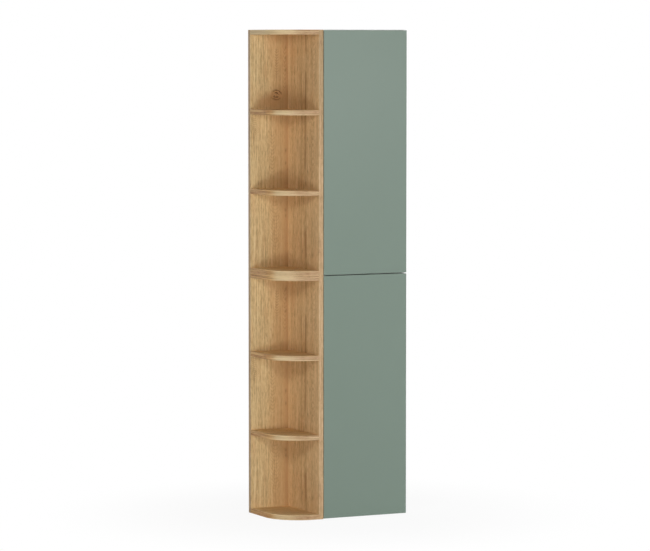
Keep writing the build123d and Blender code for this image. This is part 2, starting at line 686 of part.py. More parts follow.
def arm_screw_hole(point):
    start = step(point, (-1, 0, 0), OVERCUT)
    return rod(start, (1, 0, 0), ARM_SCREW_RADIUS + FIT_PLAY, ARM_OFFSET + ARM_WEB / 2 + OVERCUT + FIT_PLAY)


def plate_screw(point):
    shank = rod(point, (1, 0, 0), PLATE_SCREW_RADIUS, PLATE_SCREW_LENGTH)
    head_top = PLATE_SCREW_HEAD_RADIUS * HEAD_TAPER
    head = cone(point, (-1, 0, 0), PLATE_SCREW_HEAD_RADIUS, head_top, PLATE_SCREW_HEAD_HEIGHT)
    return shank + head - cross_slot(step(point, (-1, 0, 0), PLATE_SCREW_HEAD_HEIGHT), (1, 0, 0))


def plate_screw_hole(point):
    return rod(point, (1, 0, 0), PLATE_SCREW_RADIUS + FIT_PLAY, PLATE_SCREW_LENGTH + FIT_PLAY)


# Push latch
def latch_housing(floor):
    """A box with a bore for the plunger, an ear beside its mouth and one behind it."""
    middle = floor + UNIT_HEIGHT / 2
    start = CARCASS_FRONT + LATCH_SETBACK
    end = start + LATCH_LENGTH
    half = LATCH_HEIGHT / 2
    body = block((DIVIDER_RIGHT, DIVIDER_RIGHT + LATCH_WIDTH), (start, end), (middle - half, middle + half))
    body = fillet(body.edges().filter_by(Axis.Y).sort_by(Axis.X)[-2:], LATCH_EDGE_RADIUS)
    ear_x = (DIVIDER_RIGHT, DIVIDER_RIGHT + LATCH_EAR_THICKNESS)
    body += block(ear_x, (start, start + LATCH_EAR_LENGTH), (middle + half, middle + half + LATCH_EAR_LENGTH))
    body += block(ear_x, (end, end + LATCH_EAR_LENGTH), (middle - half, middle + half))
    bore = rod(
        (latch_axis_x(), start - OVERCUT, middle), (0, 1, 0), PLUNGER_RADIUS + PLUNGER_PLAY,
        LATCH_LENGTH - LATCH_WALL_AT_END + OVERCUT,
    )
    holes = [latch_screw_hole(p) for p in latch_screw_places(floor)]
    return body - [bore] - holes


def latch_axis_x():
    return DIVIDER_RIGHT + LATCH_WIDTH / 2


def latch_screw(place):
    start, way = place
    shank = rod(start, way, LATCH_SCREW_RADIUS, LATCH_SCREW_LENGTH)
    head_top = LATCH_SCREW_HEAD_RADIUS * HEAD_TAPER
    head = cone(start, reverse(way), LATCH_SCREW_HEAD_RADIUS, head_top, LATCH_SCREW_HEAD_HEIGHT)
    return shank + head - cross_slot(step(start, way, -LATCH_SCREW_HEAD_HEIGHT), way)


def latch_screw_hole(place):
    start, way = place
    return rod(start, way, LATCH_SCREW_RADIUS + FIT_PLAY, LATCH_SCREW_LENGTH + FIT_PLAY)


def plunger_tip_face():
    return DOOR_BACK + STRIKE_THICKNESS + TIP_PLAY


def latch_plunger(floor):
    z = floor + UNIT_HEIGHT / 2
    tip = plunger_tip_face()
    inside = CARCASS_FRONT + LATCH_SETBACK + PLUNGER_LENGTH_INSIDE
    stem = rod((latch_axis_x(), tip, z), (0, 1, 0), PLUNGER_RADIUS, inside - tip)
    head = rod((latch_axis_x(), tip, z), (0, 1, 0), PLUNGER_TIP_RADIUS, PLUNGER_TIP_LENGTH)
    head = fillet(head.edges().filter_by(GeomType.CIRCLE), PLUNGER_TIP_ROUND)
    return stem + head


def latch_spring(floor):
    """The spring behind the plunger, pressed together as it is with the door closed."""
    z = floor + UNIT_HEIGHT / 2
    start = CARCASS_FRONT + LATCH_SETBACK + PLUNGER_LENGTH_INSIDE + 2 * SPRING_WIRE_RADIUS
    end = CARCASS_FRONT + LATCH_SETBACK + LATCH_LENGTH - LATCH_WALL_AT_END - 2 * SPRING_WIRE_RADIUS
    path = Helix(SPRING_PITCH, end - start, SPRING_RADIUS)
    section = Plane(origin=path @ 0, z_dir=path % 0) * Circle(SPRING_WIRE_RADIUS)
    coil = sweep(section, path=path)
    return Plane(origin=(latch_axis_x(), start, z), z_dir=(0, 1, 0)) * coil


def latch_strike(floor):
    z = floor + UNIT_HEIGHT / 2
    half = STRIKE_SIDE / 2
    x = latch_axis_x()
    low_x = max(x - half, DOOR_LEFT + DOOR_EDGE_RADIUS)
    plate = block((low_x, x + half), (DOOR_BACK, DOOR_BACK + STRIKE_THICKNESS), (z - half, z + half))
    return fillet(plate.edges().filter_by(Axis.Y), STRIKE_CORNER_RADIUS)


def door_bumpers(floor):
    """Soft round pads on the door's back at its opening side."""
    x = DOOR_LEFT + BUMPER_SIDE_INSET
    pads = []
    for z in (floor + BUMPER_END_INSET, floor + UNIT_HEIGHT - BUMPER_END_INSET):
        pad = rod((x, DOOR_BACK, z), (0, 1, 0), BUMPER_RADIUS, BUMPER_THICKNESS)
        pads.append(fillet(pad.edges().filter_by(GeomType.CIRCLE).sort_by(Axis.Y)[-1], BUMPER_THICKNESS / 2))
    return pads


# Screws and sleeves that join the two units
def connector_sleeve(x, y):
    """A sleeve nut that goes down from the upper unit's bottom through both boards."""
    top = UNIT_HEIGHT + BOARD
    tube_length = 2 * BOARD - CONNECTOR_END_WALL
    tube = rod((x, y, top), (0, 0, -1), CONNECTOR_RADIUS, tube_length)
    head = rod((x, y, top), (0, 0, 1), CONNECTOR_HEAD_RADIUS, CONNECTOR_HEAD_HEIGHT)
    bore_length = tube_length - CONNECTOR_END_WALL
    bore = rod((x, y, top - tube_length), (0, 0, 1), CONNECTOR_SCREW_RADIUS + FIT_PLAY, bore_length)
    return tube + head - bore - socket((x, y, top + CONNECTOR_HEAD_HEIGHT), (0, 0, -1))


def connector_screw(x, y):
    bottom = UNIT_HEIGHT - BOARD
    shank = rod((x, y, bottom), (0, 0, 1), CONNECTOR_SCREW_RADIUS, CONNECTOR_SCREW_LENGTH)
    head = rod((x, y, bottom), (0, 0, -1), CONNECTOR_HEAD_RADIUS, CONNECTOR_HEAD_HEIGHT)
    return shank + head - socket((x, y, bottom - CONNECTOR_HEAD_HEIGHT), (0, 0, 1))


# Wall hangers
def hanger_body(side):
    """A block on a panel's inner face, in the void behind the thin back. side is 1 at the divider."""
    face = DIVIDER_RIGHT if side > 0 else SIDE_INNER
    y = (THIN_BACK_REAR + HANGER_FRONT_PLAY, BACK - HANGER_REAR_PLAY)
    middle = 2 * UNIT_HEIGHT - BOARD - HANGER_FROM_TOP
    z = (middle - HANGER_HEIGHT / 2, middle + HANGER_HEIGHT / 2)
    body = block((face, face + side * HANGER_WIDTH), y, z)
    places = hanger_screw_places()[0 if side > 0 else 1]
    return body - [hanger_screw_hole(p) for p in places]


def hanger_screw(place):
    start, way = place
    shank = rod(start, way, HANGER_SCREW_RADIUS, HANGER_SCREW_LENGTH)
    head = rod(start, reverse(way), HANGER_SCREW_HEAD_RADIUS, HANGER_SCREW_HEAD_HEIGHT)
    return shank + head - cross_slot(step(start, way, -HANGER_SCREW_HEAD_HEIGHT), way)


def hanger_screw_hole(place):
    start, way = place
    return rod(start, way, HANGER_SCREW_RADIUS + FIT_PLAY, HANGER_SCREW_LENGTH + FIT_PLAY)


def wall_plate_span(side):
    """The X range of a wall plate, beside its hanger body."""
    face = DIVIDER_RIGHT if side > 0 else SIDE_INNER
    start = face + side * (HANGER_WIDTH + HANGER_SCREW_HEAD_HEIGHT + WALL_PLATE_SIDE_GAP)
    return (start, start + side * WALL_PLATE_WIDTH)


def lip_bottom():
    return 2 * UNIT_HEIGHT - BOARD - HANGER_FROM_TOP


def wall_plate(side):
    """A flat plate for the wall whose upper edge stands forward as a lip."""
    x = wall_plate_span(side)
    bottom = lip_bottom() - WALL_PLATE_HEIGHT
    flat = block(x, (BACK - WALL_PLATE_THICKNESS, BACK), (bottom, lip_bottom()))
    lip_front = BACK - 2 * WALL_PLATE_THICKNESS - WALL_PLATE_OFFSET
    shoulder = block(x, (lip_front, BACK), (lip_bottom() - WALL_PLATE_THICKNESS, lip_bottom()))
    lip_y = (lip_front, lip_front + WALL_PLATE_THICKNESS)
    lip = block(x, lip_y, (lip_bottom() - WALL_PLATE_THICKNESS, lip_bottom() + WALL_PLATE_LIP))
    hole_z = bottom + (WALL_PLATE_HEIGHT - WALL_PLATE_THICKNESS) / 2
    middle = (x[0] + x[1]) / 2
    holes = [
        rod((middle + way * WALL_HOLE_SPACING / 2, BACK + OVERCUT, hole_z), (0, -1, 0), WALL_HOLE_RADIUS,
            WALL_PLATE_THICKNESS + 2 * OVERCUT)
        for way in (-1, 1)
    ]
    return flat + shoulder + lip - holes


def hanger_hook(side):
    """A strip from the hanger body that reaches over the wall plate's lip and drops behind it."""
    face = DIVIDER_RIGHT if side > 0 else SIDE_INNER
    body_side = face + side * HANGER_WIDTH
    x = (body_side, body_side + side * HOOK_REACH)
    lip_top = lip_bottom() + WALL_PLATE_LIP
    lip_rear = BACK - WALL_PLATE_THICKNESS - WALL_PLATE_OFFSET
    front = THIN_BACK_REAR + HANGER_FRONT_PLAY + HOOK_THICKNESS
    bridge_z = (lip_top + HOOK_PLAY, lip_top + HOOK_PLAY + HOOK_THICKNESS)
    finger_y = (lip_rear + HOOK_PLAY, lip_rear + HOOK_PLAY + HOOK_THICKNESS)
    bridge = block(x, (front, finger_y[1]), bridge_z)
    finger_x = (wall_plate_span(side)[0], x[1])
    finger = block(finger_x, finger_y, (bridge_z[1] - HOOK_DROP, bridge_z[1]))
    return bridge + finger


# All pieces by name
def unit_pieces(name, floor):
    pieces = {
        "divider_panel": divider_panel(name, floor),
        "side_panel": side_panel(name, floor),
        "cupboard_bottom": cupboard_board(floor, 0.0, 1, name == "upper"),
        "cupboard_top": cupboard_board(floor, UNIT_HEIGHT - BOARD, -1, name == "lower"),
        "thin_back": thin_back(floor),
        "open_back_board": open_back_board(floor),
        "door": door(floor),
        "hinge_cups": [hinge_cup(floor + level) for level in HINGE_LEVELS],
        "hinge_pins": [hinge_pin(floor + level) for level in HINGE_LEVELS],
        "cup_screws": [cup_screw(p) for level in HINGE_LEVELS for p in cup_screw_places(floor + level)],
        "hinge_arms": [hinge_arm(floor + level) for level in HINGE_LEVELS],
        "hinge_plates": [hinge_plate(floor + level) for level in HINGE_LEVELS],
        "latch_housing": latch_housing(floor),
        "latch_plunger": latch_plunger(floor),
        "latch_strike": latch_strike(floor),
        "door_bumpers": door_bumpers(floor),
    }
    for board, level in OPEN_LEVELS.items():
        pieces[board] = open_board(floor, level)
    for which, level in INNER_SHELF_LEVELS.items():
        pieces["inner_shelf_" + which] = inner_shelf(floor, level)
    return {name + "_" + piece: shape for piece, shape in pieces.items()}


def shared_fasteners():
    """Fasteners of both units, one named group of separate solids for each kind."""
    screws = []
    cams = []
    bolts = []
    dowels = []
    for floor in UNITS.values():
        for level in OPEN_LEVELS.values():
            through_divider, through_back = open_screw_places(floor + level)
            screws += [board_screw(p) for p in through_divider + through_back]
        for level, sink in ((0.0, 1), (UNIT_HEIGHT - BOARD, -1)):
            hidden_face = floor + level + (BOARD if sink < 0 else 0.0)
            places = end_places(floor + level, CAM_ROWS)
            cams += [cam_lock(p, hidden_face, sink) for p in places]
            bolts += [cam_bolt(p) for p in places]
            dowels += [dowel(p) for p in end_places(floor + level, DOWEL_ROWS)]
        dowels += [dowel(p) for p in back_dowel_places(floor)]
    floors = UNITS.values()
    webs = [
        (SIDE_INNER - ARM_OFFSET - ARM_WEB, CARCASS_FRONT + place, floor + level)
        for floor in floors
        for level in HINGE_LEVELS
        for place in ARM_SCREW_PLACES
    ]
    return {
        "board_screws": screws,
        "cam_locks": cams,
        "cam_bolts": bolts,
        "dowels": dowels,
        "shelf_supports": shelf_supports(),
        "plate_screws": [plate_screw(p) for floor in floors for p in plate_screw_places(floor)],
        "arm_screws": [arm_screw(p) for p in webs],
        "latch_screws": [latch_screw(p) for floor in floors for p in latch_screw_places(floor)],
        "latch_springs": [latch_spring(floor) for floor in floors],
        "connector_sleeves": [connector_sleeve(x, y) for x, y in connector_places()],
        "connector_screws": [connector_screw(x, y) for x, y in connector_places()],
        "hanger_bodies": [hanger_body(side) for side in (1, -1)],
        "hanger_hooks": [hanger_hook(side) for side in (1, -1)],
        "hanger_screws": [hanger_screw(p) for places in hanger_screw_places() for p in places],
        "wall_plates": [wall_plate(side) for side in (1, -1)],
    }


def main():
    os.makedirs("parts", exist_ok=True)
    pieces = {}
    for name, floor in UNITS.items():
        pieces.update(unit_pieces(name, floor))
    pieces.update(shared_fasteners())
    for name, shape in pieces.items():
        solids = shape if isinstance(shape, list) else [shape]
        export_step(Compound(children=[s.solid() for s in solids]), f"parts/{name}.step")
    print(len(pieces), "pieces written")


main()
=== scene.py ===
import json
import math

import bpy
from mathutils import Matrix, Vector


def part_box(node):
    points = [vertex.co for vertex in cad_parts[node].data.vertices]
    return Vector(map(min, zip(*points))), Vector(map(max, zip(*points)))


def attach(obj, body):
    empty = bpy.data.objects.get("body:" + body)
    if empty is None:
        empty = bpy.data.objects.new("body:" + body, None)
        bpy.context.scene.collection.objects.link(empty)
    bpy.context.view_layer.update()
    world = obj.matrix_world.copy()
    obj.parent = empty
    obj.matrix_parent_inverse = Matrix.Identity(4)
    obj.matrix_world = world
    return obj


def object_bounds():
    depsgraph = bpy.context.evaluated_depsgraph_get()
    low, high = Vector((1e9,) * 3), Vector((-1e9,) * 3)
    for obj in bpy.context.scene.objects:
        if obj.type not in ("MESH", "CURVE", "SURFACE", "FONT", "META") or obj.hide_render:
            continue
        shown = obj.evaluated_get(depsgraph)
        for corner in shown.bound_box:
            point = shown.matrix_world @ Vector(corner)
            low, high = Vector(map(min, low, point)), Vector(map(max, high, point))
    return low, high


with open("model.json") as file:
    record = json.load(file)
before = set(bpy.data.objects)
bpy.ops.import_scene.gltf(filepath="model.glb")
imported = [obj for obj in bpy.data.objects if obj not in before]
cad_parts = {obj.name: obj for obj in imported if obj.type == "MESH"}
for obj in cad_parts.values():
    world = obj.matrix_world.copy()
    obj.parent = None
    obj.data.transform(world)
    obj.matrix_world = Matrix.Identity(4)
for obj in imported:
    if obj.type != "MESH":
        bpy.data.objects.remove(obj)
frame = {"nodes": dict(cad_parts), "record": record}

# The column as it is packed: its box, the height of a unit and two planes that the prints follow. Metres.
cad_low, cad_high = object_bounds()
UNIT_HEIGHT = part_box("lower_divider_panel")[1].z
BACK_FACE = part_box("lower_open_back_board")[0].y
DIVIDER_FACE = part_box("lower_divider_panel")[0].x
MM = 0.001

# The same sizes and the boards' thickness in millimetres, for the finishes
UNIT = UNIT_HEIGHT / MM
COLUMN = 2 * UNIT
BACK = BACK_FACE / MM
DIVIDER = DIVIDER_FACE / MM
BOARD = 16.0

# Camera, at the photograph's viewing angle
CAMERA_PLACE = (-4.7493, -9.6900, 1.5486)
CAMERA_YAW = math.radians(26.067)
CAMERA_PITCH = math.radians(4.0195)
CAMERA_FOCAL_PIXELS = 3273.0
CAMERA_REACH = 100.0
IMAGE_WIDTH = 650
SENSOR_WIDTH = 36.0

# Studio. A lamp has a place, the point it faces, its width and height, and its power in watts.
LAMPS = {
    "overhead": ((0.0, -0.5, 3.6), (0.0, 0.0, 0.8), 1.5, 1.5, 32.0),
    "left_high": ((-2.6, -2.6, 2.0), (0.0, 0.0, 0.8), 1.0, 0.7, 36.0),
    "left_low": ((-3.5, -1.0, 0.35), (0.0, 0.0, 0.8), 1.0, 0.7, 9.0),
    "left_floor": ((-1.8, -2.9, 0.12), (0.0, 0.0, 0.8), 1.2, 0.2, 12.0),
    "front_low": ((-0.8, -3.6, 0.35), (0.0, 0.0, 0.4), 1.0, 0.7, 20.0),
    "right_front": ((1.38, -3.0, 1.46), (0.0, 0.0, 1.0), 0.6, 0.6, 7.0),
    "right_side": ((3.3, 0.6, 1.2), (0.2, 0.1, 0.8), 2.6, 2.4, 42.0),
    "rear_right": ((1.9, 3.0, 1.7), (0.1, 0.1, 0.8), 2.4, 2.4, 20.0),
    "rear": ((-0.3, 3.5, 1.6), (0.0, 0.1, 0.8), 3.2, 2.6, 30.0),
    "right_near": ((2.3, -1.3, 0.45), (0.15, -0.1, 0.1), 1.3, 0.8, 15.5),
}
WHITE = (1.0, 1.0, 1.0)
ROOM_LIGHT = 0.02
FLOOR_TONE = (0.70, 0.70, 0.70)
FLOOR_SIZE = 9.0
FLOOR_SHADOW_START = 0.30
FLOOR_SHADOW_END = 1.00
FLOOR_WHITE_NEAR = 0.92

# Places of nodes' outputs
OBJECT_POINT = 3
TRUE_NORMAL = 3
CELL_COLOUR = 1
CAMERA_RAY = 0
GLOSSY_RAY = 3
CLEAR_RAY = 6

# The axes, and how much of a surface's normal lies along one where it starts to face that way, and does
SIDEWAYS = 0
FRONT_TO_BACK = 1
UP = 2
FACING_START = 0.6
FACING_END = 0.8


class Wire:
    """A value on its way through a node tree. Sums on it add Math nodes."""

    def __init__(self, nodes, socket):
        self.nodes = nodes
        self.socket = socket

    def math(self, operation, *others):
        return self.nodes.sum(operation, self, *others)

    def __add__(self, other):
        return self.math("ADD", other)

    __radd__ = __add__

    def __sub__(self, other):
        return self.math("SUBTRACT", other)

    def __rsub__(self, other):
        return self.nodes.sum("SUBTRACT", other, self)

    def __mul__(self, other):
        return self.math("MULTIPLY", other)

    __rmul__ = __mul__

    def __truediv__(self, other):
        return self.math("DIVIDE", other)

    def __pow__(self, other):
        return self.math("POWER", other)

    def __mod__(self, other):
        return self.math("FLOORED_MODULO", other)

    def __abs__(self):
        return self.math("ABSOLUTE")

    def __neg__(self):
        return self.math("MULTIPLY", -1.0)

    def held(self):
        """The value kept between 0 and 1."""
        return self.nodes.node("ShaderNodeClamp", {}, {"Value": self})

    def ramp(self, low, high):
        """0 below low, 1 above high, smooth between them. low may be above high, which turns it round."""
        kind = {"interpolation_type": "SMOOTHSTEP"}
        ends = {"Value": self, "From Min": min(low, high), "From Max": max(low, high)}
        if low > high:
            ends.update({"To Min": 1.0, "To Max": 0.0})
        return self.nodes.node("ShaderNodeMapRange", kind, ends)

    def bell(self):
        """1 at 0, and less the further the value is above 0."""
        return (-self).math("EXPONENT")


class Nodes:
    """A node tree in the making, and the one call that adds a node to it."""

    def __init__(self, tree):
        self.tree = tree

    def node(self, kind, settings, sockets, output=0):
        """Adds a node, sets its settings first and then its sockets, by name or number."""
        made = self.tree.nodes.new(kind)
        for key, value in settings.items():
            if key == "stops":
                self.set_stops(made.color_ramp, value)
            else:
                setattr(made, key, value)
        shown = [s for s in made.inputs if s.enabled]
        for key, value in sockets.items():
            socket = shown[key] if isinstance(key, int) else next(s for s in shown if s.name == key)
            if isinstance(value, Wire):
                self.tree.links.new(value.socket, socket)
            else:
                socket.default_value = value
        return Wire(self, [s for s in made.outputs if s.enabled][output])

    @staticmethod
    def set_stops(ramp, stops):
        while len(ramp.elements) < len(stops):
            ramp.elements.new(1.0)
        for element, (place, colour) in zip(ramp.elements, stops):
            element.position = place
            element.color = (*colour, 1.0)

    def sum(self, operation, *values):
        return self.node("ShaderNodeMath", {"operation": operation}, dict(enumerate(values)))

    def vector(self, x, y, z):
        return self.node("ShaderNodeCombineXYZ", {}, {0: x, 1: y, 2: z})

    def parts(self, vector):
        """X, Y and Z of a vector."""
        return [self.node("ShaderNodeSeparateXYZ", {}, {0: vector}, output=n) for n in range(3)]


class Finish(Nodes):
    """One finish in the making: a material, or a world that is given, and its nodes."""

    def __init__(self, name, world=None):
        self.material = world or bpy.data.materials.new(name)
        self.material.use_nodes = True
        super().__init__(self.material.node_tree)
        self.tree.nodes.clear()

    def place(self):
        """X, Y and Z of the point on the piece, in millimetres of the column's own frame."""
        point = self.node("ShaderNodeTexCoord", {}, {}, output=OBJECT_POINT)
        return [part / MM for part in self.parts(point)]

    def facing(self, axis):
        """How much of the way that the surface faces lies along an axis."""
        normal = self.node("ShaderNodeNewGeometry", {}, {}, output=TRUE_NORMAL)
        return self.parts(normal)[axis]

    def faces(self, axis):
        """1 where the surface faces along an axis, either way."""
        return abs(self.facing(axis)).ramp(FACING_START, FACING_END)

    def faces_front(self):
        return (-self.facing(FRONT_TO_BACK)).ramp(FACING_START, FACING_END)

    def faces_rear(self):
        return self.facing(FRONT_TO_BACK).ramp(FACING_START, FACING_END)

    def noise(self, x, y, z, detail=2.0, roughness=0.5):
        settings = {"noise_dimensions": "3D"}
        sockets = {"Vector": self.vector(x, y, z), "Scale": 1.0, "Detail": detail, "Roughness": roughness}
        return self.node("ShaderNodeTexNoise", settings, sockets)

    def patches(self, width, depth, height, detail=2.0, roughness=0.5):
        """Noise through the piece, with patches of about this width, depth and height in millimetres."""
        x, y, z = self.place()
        return self.noise(x / width, y / depth, z / height, detail, roughness)

    def cells(self, point, output=0):
        """A pattern of cells: how far the point is from its cell's middle, or its cell's own colour."""
        return self.node("ShaderNodeTexVoronoi", {}, {"Vector": point, "Scale": 1.0}, output)

    def tones(self, amount, stops):
        """The colour at an amount along a row of colours."""
        return self.node("ShaderNodeValToRGB", {"stops": stops}, {"Fac": amount})

    def blend(self, factor, first, second):
        """A colour between two colours."""
        colours = {"Factor": factor, "A": self.colour(first), "B": self.colour(second)}
        return self.node("ShaderNodeMix", {"data_type": "RGBA"}, colours)

    def shade(self, colour, amount):
        """A colour made darker or lighter by an amount near 1."""
        return self.node("ShaderNodeVectorMath", {"operation": "SCALE"}, {0: colour, "Scale": amount})

    @staticmethod
    def between(factor, first, second):
        """A number between two numbers."""
        return first + (second - first) * factor

    @staticmethod
    def colour(value):
        return value if isinstance(value, Wire) else (*value, 1.0)

    def coat_surface(self, colour, roughness, height, lift, constants=None):
        """Ends the finish with its one shader. height is in millimetres, and lift is how much of it shows."""
        bump = self.node("ShaderNodeBump", {}, {"Strength": lift, "Distance": MM, "Height": height})
        sockets = {"Base Color": self.colour(colour), "Roughness": roughness, "Normal": bump}
        sockets.update(constants or {})
        self.end(self.node("ShaderNodeBsdfPrincipled", {}, sockets))
        return self.material

    def plain_sight(self):
        """1 for rays of the camera, of reflections and of clear pieces, which see the white background."""
        kinds = (CAMERA_RAY, GLOSSY_RAY, CLEAR_RAY)
        rays = [self.node("ShaderNodeLightPath", {}, {}, output=kind) for kind in kinds]
        return sum(rays[1:], rays[0]).held()

    def end(self, shader, kind="ShaderNodeOutputMaterial"):
        output = self.tree.nodes.new(kind)
        self.tree.links.new(shader.socket, output.inputs["Surface"])


class Shape(Nodes):
    """A shape that follows a rule: a Geometry Nodes tree whose sizes are named inputs."""

    def __init__(self, name, sizes):
        super().__init__(bpy.data.node_groups.new(name, "GeometryNodeTree"))
        self.given = {}
        for key, value in sizes.items():
            kind = "NodeSocketInt" if isinstance(value, int) else "NodeSocketFloat"
            socket = self.tree.interface.new_socket(key, in_out="INPUT", socket_type=kind)
            self.given[socket.identifier] = value
        self.tree.interface.new_socket("Shape", in_out="OUTPUT", socket_type="NodeSocketGeometry")
        self.inputs = self.tree.nodes.new("NodeGroupInput").outputs

    def size(self, key):
        return Wire(self, self.inputs[key])

    def row(self, count, step):
        """Points in a row, a step apart, of which the first is at the origin."""
        return self.node("GeometryNodeMeshLine", {}, {"Count": count, "Offset": step})

    def at_each(self, points, shape):
        copies = self.node("GeometryNodeInstanceOnPoints", {}, {"Points": points, "Instance": shape})
        return self.node("GeometryNodeRealizeInstances", {}, {"Geometry": copies})

    def made(self, name, shape, finish):
        """Ends the tree, and gives what it makes as a plain object in metres, with this finish alone."""
        real = self.node("GeometryNodeRealizeInstances", {}, {"Geometry": shape})
        dressed = self.node("GeometryNodeSetMaterial", {}, {"Geometry": real, "Material": finish})
        self.tree.links.new(dressed.socket, self.tree.nodes.new("NodeGroupOutput").inputs[0])
        piece = bpy.data.objects.new(name, bpy.data.meshes.new(name))
        bpy.context.scene.collection.objects.link(piece)
        modifier = piece.modifiers.new("rule", "NODES")
        modifier.node_group = self.tree
        for identifier, value in self.given.items():
            modifier[identifier] = value
        solved = piece.evaluated_get(bpy.context.evaluated_depsgraph_get())
        mesh = bpy.data.meshes.new_from_object(solved)
        if mesh.materials[0] is None:
            mesh.materials.pop(index=0)
        piece.modifiers.remove(modifier)
        piece.data = mesh
        return piece


# Oak decor: the print's own colours, which also serve the painted shade and painted light below
OAK_DARK = (0.478, 0.312, 0.148)
OAK_MIDDLE = (0.785, 0.577, 0.292)
OAK_LIGHT = (0.945, 0.760, 0.436)
OAK_RED = (0.713, 0.420, 0.198)
OAK_STREAK_AND_SHADE = (0.392, 0.219, 0.093)
OAK_PORE = (0.250, 0.145, 0.062)
OAK_KNOT = (0.150, 0.070, 0.028)
OAK_STOPS = ((0.20, OAK_DARK), (0.50, OAK_MIDDLE), (0.84, OAK_LIGHT))
OAK_ROUGHNESS = 0.50
OAK_SHEEN = 0.10

# What the print's colour is multiplied by on the divider, on edges, on shelves and on their edge bands. The
# divider's top edge, the back board's side edges, the shelves' faces and the bands' left ends take painted
# shade
DIVIDER_TINT = (0.935, 0.830, 0.790)
EDGE_TINT = (0.800, 0.725, 0.780)
EDGE_TOP_SHADE_TINT = (0.830, 0.840, 0.830)
SIDE_SHADE_TINT = (0.730, 0.705, 0.830)
SHELF_SHADE_TINT = (0.880, 0.790, 0.720)
SHELF_FRONT_SHADE_TINT = (0.860, 0.850, 0.850)
BAND_TINT = (0.730, 0.635, 0.695)
BEND_SHADE_TINT = (1.100, 0.970, 0.755)

# How far each of the print's noises moves its tone
BROAD_SHARE = 0.35
LINE_SHARE = 1.15
HAIR_SHARE = 0.30
MOTTLE_SHARE = 0.68

# The print's embossing, and how far its lines wander and its arches bow. Millimetres, except the bow.
PORE_DEPTH = -0.05
HAIR_DEPTH = 0.02
GRAIN_DRIFT = 14
STREAK_WANDER = 18
ARCH_BOW = 3.0


